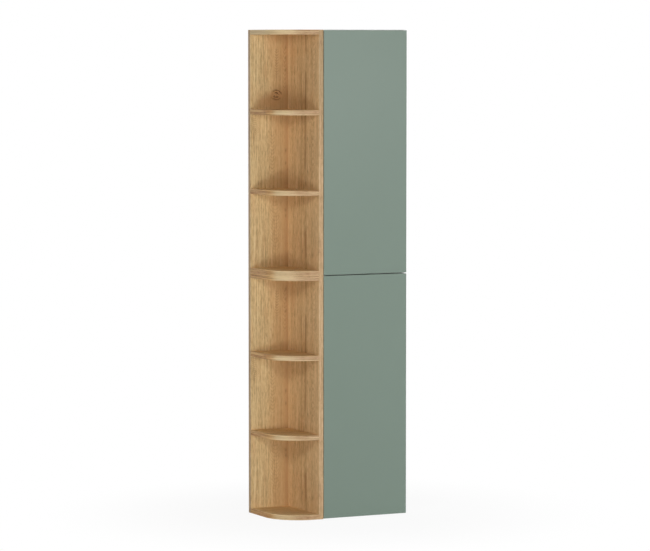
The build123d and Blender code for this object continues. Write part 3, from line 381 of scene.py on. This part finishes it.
class Oak:
    """Printed oak in the making: its colour, and how deep its embossing is.

    All lengths and places are millimetres on the board: across the grain, and along it.
    """

    def __init__(self, finish, across, along, seed):
        self.finish = finish
        self.across = across
        self.along = along
        self.seed = seed
        drift = finish.noise(across / 60, along / 480, seed) - 0.5
        self.bent = across + drift * GRAIN_DRIFT
        self.colour, self.depth = self.ground()

    def noise(self, width, length, step, detail=2.0, roughness=0.5):
        """Drawn-out noise: width across the grain and length along it. Each step gives another one."""
        return self.finish.noise(self.bent / width, self.along / length, self.seed + step, detail, roughness)

    def ground(self):
        """Broad bands, fine lines, warm patches, short flecks and pores."""
        broad = self.noise(26, 700, 11, detail=1.0) - 0.5
        lines = self.noise(4.2, 190, 7, detail=3.0, roughness=0.62)
        hairs = self.noise(0.9, 60, 3) - 0.5
        mottle = self.noise(4.2, 20, 13) - 0.5
        tone = 0.5 + broad * BROAD_SHARE + (lines - 0.5) * LINE_SHARE
        tone = tone + hairs * HAIR_SHARE + mottle * MOTTLE_SHARE
        warm = self.noise(40, 170, 23).ramp(0.52, 0.72)
        flecks = self.noise(3.4, 24, 29).ramp(0.54, 0.70) * self.noise(24, 140, 37).ramp(0.34, 0.58)
        pores = self.noise(0.42, 9, 17, detail=1.0).ramp(0.60, 0.72) * lines.ramp(0.62, 0.40)
        colour = self.finish.tones(tone, OAK_STOPS)
        colour = self.finish.blend(warm * 0.35, colour, OAK_RED)
        colour = self.finish.blend(flecks * 0.54, colour, OAK_STREAK_AND_SHADE)
        colour = self.finish.blend(pores * 0.55, colour, OAK_PORE)
        return colour, pores * PORE_DEPTH + hairs * HAIR_DEPTH

    def darken(self, amount, colour):
        self.colour = self.finish.blend(amount, self.colour, colour)

    def lighten(self, amount):
        self.colour = self.finish.blend(amount, self.colour, OAK_LIGHT)

    def tint(self, amount, tint):
        """The print's colour times a tint, where amount is 1."""
        times = {"operation": "MULTIPLY"}
        tinted = self.finish.node("ShaderNodeVectorMath", times, {0: self.colour, 1: tint})
        self.colour = self.finish.blend(amount, self.colour, tinted)

    def painted_shade_zone(self, low, high, amount, colour=OAK_STREAK_AND_SHADE):
        """Painted shade: board that turns darker between two places across it."""
        self.darken(self.bent.ramp(low, high) * amount, colour)

    def streak(self, place, width, amount):
        """A dark line that runs up the board and wavers."""
        waver = (self.finish.noise(0.5, self.along / 150, self.seed + 51) - 0.5) * STREAK_WANDER
        side = (self.across - place + waver) / width
        patchy = self.finish.noise(0.5, self.along / 90, self.seed + 57).ramp(0.30, 0.60)
        self.darken((side * side).bell() * patchy * amount, OAK_STREAK_AND_SHADE)

    def spot(self, place, height, width, length, amount):
        """A small dark eye in the grain."""
        side = (self.across - place) / width
        up = (self.along - height) / length
        self.darken((side * side + up * up).bell() * amount, OAK_PORE)

    def arches(self, place, height, width, length, amount, pitch=9.0):
        """Arched grain lines about a heart. pitch says how many of them lie in a length."""
        side = (self.bent - place) / width
        up = (self.along - height) / length
        ripple = self.noise(5, 30, 31) * 1.1
        waves = (side * side * ARCH_BOW - up * pitch + ripple) % 1.0
        inside = (side * side + up * up).ramp(1.0, 0.35)
        self.darken(waves.ramp(0.55, 0.95) * inside * amount, OAK_STREAK_AND_SHADE)

    def chevrons(self, place, width, low, high, pitch, amount):
        """A column of short slanting ticks, a pitch apart, as where two fans of grain meet."""
        side = abs(self.across - place) / width
        ticks = (self.along / pitch - side * 0.8 + self.noise(3, 9, 71) * 0.8) % 1.0
        inside = side.ramp(1.0, 0.5) * self.along.ramp(low - 8, low + 8) * self.along.ramp(high + 8, high - 8)
        self.darken(ticks.ramp(0.5, 0.9) * inside * amount, OAK_STREAK_AND_SHADE)

    def knot(self, place, height, width, length, only):
        """Broken rings round a small knot, and a reddish painted shade below and left of it. only is 1 where
        the board has it.
        """
        side = (self.across - place) / width
        up = (self.along - height) / length
        reach = (side * side + up * up) ** 0.5
        wobble = self.finish.noise(self.across / 11, self.along / 6, self.seed + 40, detail=1.0) - 0.5
        rings = (reach * 1.9 + side * 0.25 + wobble * 1.3) % 1.0
        gaps = (abs(up + side * 0.35) / (reach + 0.05)).ramp(0.10, 0.85)
        near = reach.ramp(1.30, 0.75) * only
        self.darken(near * 0.55, OAK_RED)
        self.darken(rings.ramp(0.40, 0.75) * gaps * near * 0.95, OAK_KNOT)
        # Painted shade: reddish and dark, below and left of the knot
        painted_shade_below = (side + 1.6) * (side + 1.6) * 0.22 + (up + 1.3) * (up + 1.3) * 0.30
        self.darken(painted_shade_below.bell() * only * 0.60, OAK_RED)

    def done(self):
        rough = OAK_ROUGHNESS - self.depth * 3.0
        constants = {"Specular IOR Level": OAK_SHEEN}
        return self.finish.coat_surface(self.colour, rough, self.depth, 0.6, constants)


def upright_print(finish):
    """Grain that runs up the board and starts again in each unit."""
    x, y, z = finish.place()
    return x + y, z % UNIT


def finish_back_board():
    """Painted light makes it lighter at the far left and painted shade darker toward the divider; with small
    eyes, and one knot in the upper unit.
    """
    finish = Finish("oak decor back board")
    oak = Oak(finish, *upright_print(finish), seed=3.0)
    # Painted light at the far left, then painted shade, darker and redder, that deepens into the corner at
    # the divider
    oak.lighten(oak.bent.ramp(BACK - 148, BACK - 176) * 0.12)
    oak.painted_shade_zone(BACK - 172, BACK - 140, 0.35, OAK_RED)
    oak.painted_shade_zone(BACK - 168, BACK - 92, 0.50)
    oak.painted_shade_zone(BACK - 122, BACK - 98, 0.35, OAK_RED)
    oak.painted_shade_zone(BACK - 112, BACK - 97, 0.38)
    oak.chevrons(BACK - 133.5, width=9.0, low=655, high=735, pitch=9.0, amount=0.55)
    oak.chevrons(BACK - 150.0, width=11.0, low=330, high=460, pitch=12.0, amount=0.35)
    oak.chevrons(BACK - 104.0, width=8.0, low=600, high=740, pitch=14.0, amount=0.50)
    oak.arches(BACK - 214.0, height=490.0, width=20.0, length=60.0, amount=0.35)
    oak.arches(BACK - 140.0, height=150.0, width=26.0, length=110.0, amount=0.30)
    for height in (742, 707, 668, 402, 360, 204, 186):
        oak.spot(BACK - 101.0, height, width=3.2, length=6.0, amount=0.5)
    upper_unit = finish.place()[UP].ramp(UNIT - 1, UNIT + 1)
    front_of_upper_unit = upper_unit * finish.faces_front()
    oak.knot(BACK - 133.7, height=585.5, width=21.0, length=17.0, only=front_of_upper_unit)
    # Painted shade and painted grazing reflection: the board's side edges darker and greyer
    oak.tint(finish.faces(SIDEWAYS), SIDE_SHADE_TINT)
    return oak.done()


def finish_divider():
    """Lighter at both edges, with a dark streak down the middle. Its front edge has a tint of its own, and a
    painted shade toward the top.
    """
    finish = Finish("oak decor divider")
    _, y, z = finish.place()
    oak = Oak(finish, *upright_print(finish), seed=61.0)
    oak.lighten(y.ramp(70, 106) * 0.42)
    oak.lighten(y.ramp(-60, -112) * 0.22)
    oak.streak(DIVIDER - 25.0, width=6.5, amount=0.80)
    oak.streak(DIVIDER + 8.0, width=5.0, amount=0.45)
    oak.arches(DIVIDER - 78.0, height=430.0, width=30.0, length=150.0, amount=0.35, pitch=7.0)
    oak.arches(DIVIDER - 88.0, height=690.0, width=28.0, length=100.0, amount=0.30, pitch=6.0)
    for across, height in ((-40.0, 443), (-40.0, 337), (-1.0, 73), (-77.0, 63)):
        oak.spot(DIVIDER + across, height, width=4.0, length=8.0, amount=0.45)
    edge = finish.faces(FRONT_TO_BACK)
    oak.tint(1.0 - edge, DIVIDER_TINT)
    oak.tint(edge, EDGE_TINT)
    # Painted shade: the front edge darker toward the top
    oak.tint(edge * z.ramp(1200, 1420), EDGE_TOP_SHADE_TINT)
    return oak.done()


def finish_shelf():
    """Grain across the column on a shelf's faces, and round the shelf along its edge band."""
    finish = Finish("oak decor shelves")
    x, y, z = finish.place()
    height = z % UNIT
    flat = finish.faces(UP)
    band = 1.0 - flat

    # Each level starts at another place in the print
    level = (height / 100).math("FLOOR") * 37
    across = finish.between(flat, height * 1.3, y + level * 3)
    along = finish.between(flat, x - y + level * 11, x + level * 5)
    oak = Oak(finish, across, along, seed=117.0)

    # The band has its own long lines, and painted light makes it lighter where it turns to the left
    side = abs(finish.facing(SIDEWAYS))
    bend = side.ramp(0.86, 1.00) * band
    lines = finish.noise(across / 4.5, along / 260, 131.0, detail=1.0)
    oak.tint(band, BAND_TINT)
    oak.darken(lines.ramp(0.52, 0.62) * band * 0.45, OAK_STREAK_AND_SHADE)
    oak.lighten(lines.ramp(0.48, 0.38) * band * 0.45)
    oak.lighten(side.ramp(0.30, 0.75) * band * (1.0 - bend) * 0.48)

    # Painted shade makes the faces darker, and darker still toward the front, and painted light makes the
    # lowest board lighter
    lowest_board = z.ramp(40, 30)
    oak.tint(flat, SHELF_SHADE_TINT)
    oak.tint(flat * y.ramp(30, -80), SHELF_FRONT_SHADE_TINT)
    oak.lighten(flat * lowest_board * 0.16)

    # The bend at the left end: a warmer painted shade colour on the lower boards, and painted light on the
    # top board, where it is the lightest
    top_board = z.ramp(COLUMN - BOARD - 2, COLUMN - BOARD)
    oak.tint(bend * (1.0 - top_board), BEND_SHADE_TINT)
    oak.lighten(bend * top_board * 0.6)
    return oak.done()


# Matt sage film on the doors, a little worn along its rim
SAGE = (0.207, 0.275, 0.227)
SAGE_WORN = (0.262, 0.340, 0.286)
DOOR_LOW, DOOR_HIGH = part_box("lower_door")
RIM_WIDTH = 1.6
RIM_CORE = 0.2


def finish_sage():
    finish = Finish("sage matt film")
    x, _, z = finish.place()
    up = z % UNIT
    cloud = finish.patches(160, 160, 160) - 0.5
    peel = finish.patches(1.6, 1.6, 1.6)
    speck = finish.patches(0.45, 0.45, 0.45, detail=1.0)
    rub = finish.patches(60, 60, 35, detail=4.0, roughness=0.65).ramp(0.56, 0.74)
    from_sides = (x - DOOR_LOW.x / MM).math("MINIMUM", DOOR_HIGH.x / MM - x)
    from_ends = (up - DOOR_LOW.z / MM).math("MINIMUM", DOOR_HIGH.z / MM - up)
    rim = from_sides.math("MINIMUM", from_ends).ramp(RIM_WIDTH, RIM_CORE)
    wear = rim * finish.patches(9, 9, 9, detail=3.0).ramp(0.40, 0.70)
    film = finish.shade(SAGE, 1.0 + cloud * 0.03 + (speck - 0.5) * 0.03)
    colour = finish.blend(wear * 0.55, film, SAGE_WORN)
    roughness = 0.35 + cloud * 0.04 + (speck - 0.5) * 0.05 - rub * 0.035 - wear * 0.06
    return finish.coat_surface(colour, roughness, peel * 0.02 + speck * 0.004, lift=0.5)


# Chipboard with white melamine film and, in front, white edging. The rear edges are raw.
MELAMINE_WHITE = (0.780, 0.780, 0.760)
EDGING_WHITE = (0.800, 0.795, 0.770)
CHIP_STOPS = ((0.0, (0.250, 0.140, 0.066)), (0.45, (0.470, 0.300, 0.155)), (1.0, (0.690, 0.510, 0.310)))


def finish_white_board():
    finish = Finish("white melamine board")
    x, y, z = finish.place()
    raw = finish.faces_rear()
    edging = finish.faces_front()
    flakes = finish.cells(finish.vector(x / 2.2, y / 2.2, z / 3.4))
    tint = finish.patches(2.6, 2.6, 4.0, detail=3.0, roughness=0.7)
    chips = finish.tones(tint * 1.5 - flakes * 0.45, CHIP_STOPS)
    pearl = finish.patches(0.40, 0.40, 0.40)
    scuffs = finish.patches(14, 40, 40, detail=4.0, roughness=0.7).ramp(0.60, 0.75)
    white = finish.shade(MELAMINE_WHITE, 1.0 + (pearl - 0.5) * 0.03 - scuffs * 0.025)
    white = finish.blend(edging, white, EDGING_WHITE)
    colour = finish.blend(raw, white, chips)
    roughness = finish.between(raw, 0.42 + (pearl - 0.5) * 0.10 - edging * 0.08 + scuffs * 0.08, 0.88)
    height = finish.between(raw, pearl * 0.010, (tint - flakes * 0.6) * 0.35)
    return finish.coat_surface(colour, roughness, height, lift=0.7)


# Hardboard, with the print of the wire mesh that its rear was pressed on
HARDBOARD_WHITE = (0.770, 0.770, 0.745)
HARDBOARD_STOPS = ((0.25, (0.115, 0.062, 0.030)), (0.75, (0.300, 0.185, 0.100)))
MESH_PITCH = 1.5


def finish_hardboard():
    """White in front and brown fibre behind."""
    finish = Finish("hardboard back")
    x, _, z = finish.place()
    front = finish.faces_front()
    rear = finish.faces_rear()
    fibre = finish.patches(1.1, 0.4, 1.1, detail=4.0, roughness=0.7)
    clump = finish.patches(9, 9, 9)
    across = (x / MESH_PITCH) % 1.0 - 0.5
    up = (z / MESH_PITCH) % 1.0 - 0.5
    mesh = ((across * across + up * up) * 9.0).bell() * rear
    brown = finish.tones(fibre * 0.7 + clump * 0.3 - mesh * 0.12, HARDBOARD_STOPS)
    white = finish.shade(HARDBOARD_WHITE, 1.0 + (fibre - 0.5) * 0.03)
    roughness = finish.between(front, 0.80 + (fibre - 0.5) * 0.2, 0.45 + (fibre - 0.5) * 0.08)
    height = finish.between(front, fibre * 0.12 - mesh * 0.16, fibre * 0.012)
    return finish.coat_surface(finish.blend(front, brown, white), roughness, height, lift=0.7)


METAL = {"Metallic": 1.0}
ZINC_DARK = (0.36, 0.37, 0.385)
ZINC_LIGHT = (0.52, 0.53, 0.535)
CRYSTAL_SIZE = 7

# Metals by slot: name, colour, colour where dull, roughness, and the skin's size and depth in millimetres
METALS = {
    "hinge_steel": ("nickel plate", (0.64, 0.62, 0.59), (0.50, 0.485, 0.46), 0.24, 0.35, 0.006),
    "screw_steel": ("zinc plate", (0.66, 0.67, 0.67), (0.55, 0.53, 0.46), 0.28, 0.30, 0.008),
    "cam_zinc": ("cast zinc", (0.52, 0.525, 0.53), (0.40, 0.40, 0.405), 0.44, 0.45, 0.035),
    "strike_steel": ("pressed steel", (0.68, 0.68, 0.67), (0.56, 0.56, 0.55), 0.26, 0.30, 0.006),
    "spring_steel": ("spring wire", (0.50, 0.50, 0.50), (0.34, 0.34, 0.34), 0.26, 0.20, 0.006),
}


def finish_metal(name, colour, dull, roughness, skin_size, depth):
    """Plated or cast metal, with a fine skin and drawn lines, dulled in places by handling."""
    finish = Finish(name)
    skin = finish.patches(skin_size, skin_size, skin_size, detail=3.0, roughness=0.6)
    bloom = finish.patches(6, 6, 6, detail=3.0, roughness=0.6).ramp(0.42, 0.72)
    lines = finish.patches(0.10, 3.5, 0.10, detail=1.0).ramp(0.56, 0.66)
    shaded = finish.blend(bloom * 0.7 + lines * 0.15, colour, dull)
    rough = roughness + bloom * 0.12 + (skin - 0.5) * 0.16 + lines * 0.06
    height = skin * depth - lines * depth * 0.4
    return finish.coat_surface(shaded, rough, height, 0.6, METAL)


def finish_galvanised():
    """Hot-dip zinc with the cell pattern of its crystals."""
    finish = Finish("galvanised steel")
    x, y, z = [part / CRYSTAL_SIZE for part in finish.place()]
    warp = finish.patches(5, 5, 5) * 1.2
    crystal = finish.cells(finish.vector(x + warp, y, z + warp), CELL_COLOUR)
    tone = finish.node("ShaderNodeSeparateColor", {}, {0: crystal})
    fine = finish.patches(0.5, 0.5, 0.5)
    colour = finish.blend(tone, ZINC_DARK, ZINC_LIGHT)
    rough = 0.42 + tone * 0.16 + (fine - 0.5) * 0.1
    return finish.coat_surface(colour, rough, fine * 0.01, 0.5, METAL)


# Plastics by slot: name, colour, roughness and the shader's other inputs
PLASTICS = {
    "latch_plastic": ("latch plastic", (0.60, 0.60, 0.58), 0.42, {}),
    "plunger_plastic": ("plunger plastic", (0.090, 0.090, 0.095), 0.36, {}),
    "bumper": ("soft clear bumper", (0.72, 0.72, 0.69), 0.22, {"Transmission Weight": 0.35}),
}
COVER_PLASTIC = ("oak coloured cover plastic", (0.600, 0.420, 0.225), 0.42, {})


def finish_moulded(name, colour, roughness, constants):
    """Moulded plastic with the fine spark texture of its mould and faint flow clouds."""
    finish = Finish(name)
    spark = finish.patches(0.16, 0.16, 0.16)
    flow = finish.patches(7, 12, 7) - 0.5
    rub = finish.patches(2.4, 4, 2.4, detail=4.0, roughness=0.65).ramp(0.58, 0.72)
    shaded = finish.shade(colour, 1.0 + flow * 0.06 + (spark - 0.5) * 0.05)
    rough = roughness + flow * 0.06 + (spark - 0.5) * 0.12 - rub * 0.10
    return finish.coat_surface(shaded, rough, spark * 0.012, 0.6, constants)


BEECH_STOPS = ((0.2, (0.440, 0.270, 0.145)), (0.8, (0.640, 0.440, 0.265)))
BEECH_FLECK = (0.330, 0.170, 0.085)


def finish_beech():
    """Turned beech dowels, with short dark flecks along the grain."""
    finish = Finish("beech dowel")
    grain = finish.patches(26, 0.7, 0.7, detail=3.0)
    flecks = finish.patches(2.4, 0.28, 0.28, detail=1.0).ramp(0.60, 0.70)
    colour = finish.blend(flecks * 0.55, finish.tones(grain, BEECH_STOPS), BEECH_FLECK)
    return finish.coat_surface(colour, 0.58 + flecks * 0.1, grain * 0.05 - flecks * 0.03, lift=0.6)


def dress_nodes():
    """Gives every node that came with the frame its finish."""
    oak_finishes = {"divider": finish_divider(), "back_board": finish_back_board(), "open": finish_shelf()}
    finishes = {
        "sage_front": finish_sage(),
        "white_board": finish_white_board(),
        "hardboard": finish_hardboard(),
        "wall_steel": finish_galvanised(),
        "beech": finish_beech(),
    }
    finishes.update({slot: finish_metal(*look) for slot, look in METALS.items()})
    finishes.update({slot: finish_moulded(*look) for slot, look in PLASTICS.items()})
    for part in frame["record"]["subparts"]:
        node = part["node"]
        slot = part["material_slot"]
        if slot == "oak_decor":
            finish = next(made for word, made in oak_finishes.items() if word in node)
        else:
            finish = finishes[slot]
        mesh = frame["nodes"][node].data
        mesh.materials.clear()
        mesh.materials.append(finish)


# Covers over the screw heads on the divider's cupboard side, at the open shelves' screws
COVER_RADIUS = 6.5 * MM
COVER_THICKNESS = 0.45 * MM
COVER_SIDES = 48
COVER_RIM_RINGS = 5
SCREW_INSET = 65.0 * MM


def make_screw_covers():
    """Thin round covers with a rounded rim, in rows up the divider."""
    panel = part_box("lower_divider_panel")
    low_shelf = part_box("lower_open_shelf_low")
    high_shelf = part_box("lower_open_shelf_high")
    front_row = panel[0].y + SCREW_INSET
    rear_row = BACK_FACE - SCREW_INSET
    sizes = {
        "Cover Radius": COVER_RADIUS,
        "Cover Thickness": COVER_THICKNESS,
        "Cover Sides": COVER_SIDES,
        "Row Spacing": rear_row - front_row,
        "Level Spacing": high_shelf[0].z - low_shelf[0].z,
        "Unit Height": UNIT_HEIGHT,
    }
    shape = Shape("screw covers", sizes)
    radius = shape.size("Cover Radius")
    thickness = shape.size("Cover Thickness")
    rim = {
        "Vertices": shape.size("Cover Sides"),
        "Side Segments": COVER_RIM_RINGS,
        "Radius Top": radius - thickness,
        "Radius Bottom": radius,
        "Depth": thickness,
    }
    disc = shape.node("GeometryNodeMeshCone", {"fill_type": "TRIANGLE_FAN"}, rim)

    # The disc's slanted rim is bent to a quarter round, and the disc is turned to stand on the panel
    x, y, z = shape.parts(shape.node("GeometryNodeInputPosition", {}, {}))
    turn = z / thickness * (math.pi / 2)
    out = (x * x + y * y) ** 0.5
    drawn_in = (radius - thickness + thickness * turn.math("COSINE")) / out
    place = shape.vector(thickness * turn.math("SINE"), x * drawn_in, y * drawn_in)
    cover = shape.node("GeometryNodeSetPosition", {}, {"Geometry": disc, "Position": place})

    pair = shape.at_each(shape.row(2, shape.vector(0.0, shape.size("Row Spacing"), 0.0)), cover)
    unit = shape.at_each(shape.row(2, shape.vector(0.0, 0.0, shape.size("Level Spacing"))), pair)
    both = shape.at_each(shape.row(2, shape.vector(0.0, 0.0, shape.size("Unit Height"))), unit)
    start = (panel[1].x, front_row, (low_shelf[0].z + low_shelf[1].z) / 2)
    placed = shape.node("GeometryNodeTransform", {}, {"Geometry": both, "Translation": start})
    piece = shape.made("screw_covers", placed, finish_moulded(*COVER_PLASTIC))
    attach(piece, "carcass")


def make_studio():
    """A pale floor. Away from the column it shows as white, and near it the column's shadow stays."""
    half = FLOOR_SIZE / 2
    low = cad_low.z
    corners = [(-half, -half, low), (half, -half, low), (half, half, low), (-half, half, low)]
    floor_mesh = bpy.data.meshes.new("floor")
    floor_mesh.from_pydata(corners, [], [(0, 1, 2, 3)])
    floor = bpy.data.objects.new("floor", floor_mesh)
    bpy.context.scene.collection.objects.link(floor)
    finish = Finish("studio floor")
    x, y, _ = finish.place()
    far = ((x * x + y * y) ** 0.5).ramp(FLOOR_SHADOW_START / MM, FLOOR_SHADOW_END / MM)
    clear = finish.between(far, FLOOR_WHITE_NEAR, 1.0) * finish.plain_sight()
    grey = finish.node("ShaderNodeBsdfDiffuse", {}, {"Color": finish.colour(FLOOR_TONE)})
    white = finish.node("ShaderNodeEmission", {}, {"Color": finish.colour(WHITE), "Strength": 1.0})
    finish.end(finish.node("ShaderNodeMixShader", {}, {0: clear, 1: grey, 2: white}))
    floor_mesh.materials.append(finish.material)


def make_world():
    """Soft even light from all round, behind which the background shows as white."""
    world = bpy.data.worlds.new("studio")
    bpy.context.scene.world = world
    sky = Finish("studio", world)
    room = sky.node("ShaderNodeBackground", {}, {"Color": sky.colour(WHITE), "Strength": ROOM_LIGHT})
    backdrop = sky.node("ShaderNodeBackground", {}, {"Color": sky.colour(WHITE), "Strength": 1.0})
    mixed = sky.node("ShaderNodeMixShader", {}, {0: sky.plain_sight(), 1: room, 2: backdrop})
    sky.end(mixed, "ShaderNodeOutputWorld")


def make_lamps():
    for name, (place, target, width, height, power) in LAMPS.items():
        lamp = bpy.data.lights.new(name, "AREA")
        lamp.shape = "RECTANGLE"
        lamp.size = width
        lamp.size_y = height
        lamp.energy = power
        holder = bpy.data.objects.new(name, lamp)
        holder.location = place
        holder.rotation_euler = (Vector(target) - Vector(place)).to_track_quat("-Z", "Y").to_euler()
        bpy.context.scene.collection.objects.link(holder)


def make_camera():
    data = bpy.data.cameras.new("camera")
    data.sensor_width = SENSOR_WIDTH
    data.lens = CAMERA_FOCAL_PIXELS / IMAGE_WIDTH * SENSOR_WIDTH
    data.clip_end = CAMERA_REACH
    camera = bpy.data.objects.new("camera", data)
    camera.location = CAMERA_PLACE
    camera.rotation_euler = (math.pi / 2 - CAMERA_PITCH, 0.0, -CAMERA_YAW)
    bpy.context.scene.collection.objects.link(camera)
    bpy.context.scene.camera = camera


dress_nodes()
make_screw_covers()
make_studio()
make_world()
make_lamps()
make_camera()
bpy.context.scene.view_settings.view_transform = "Standard"
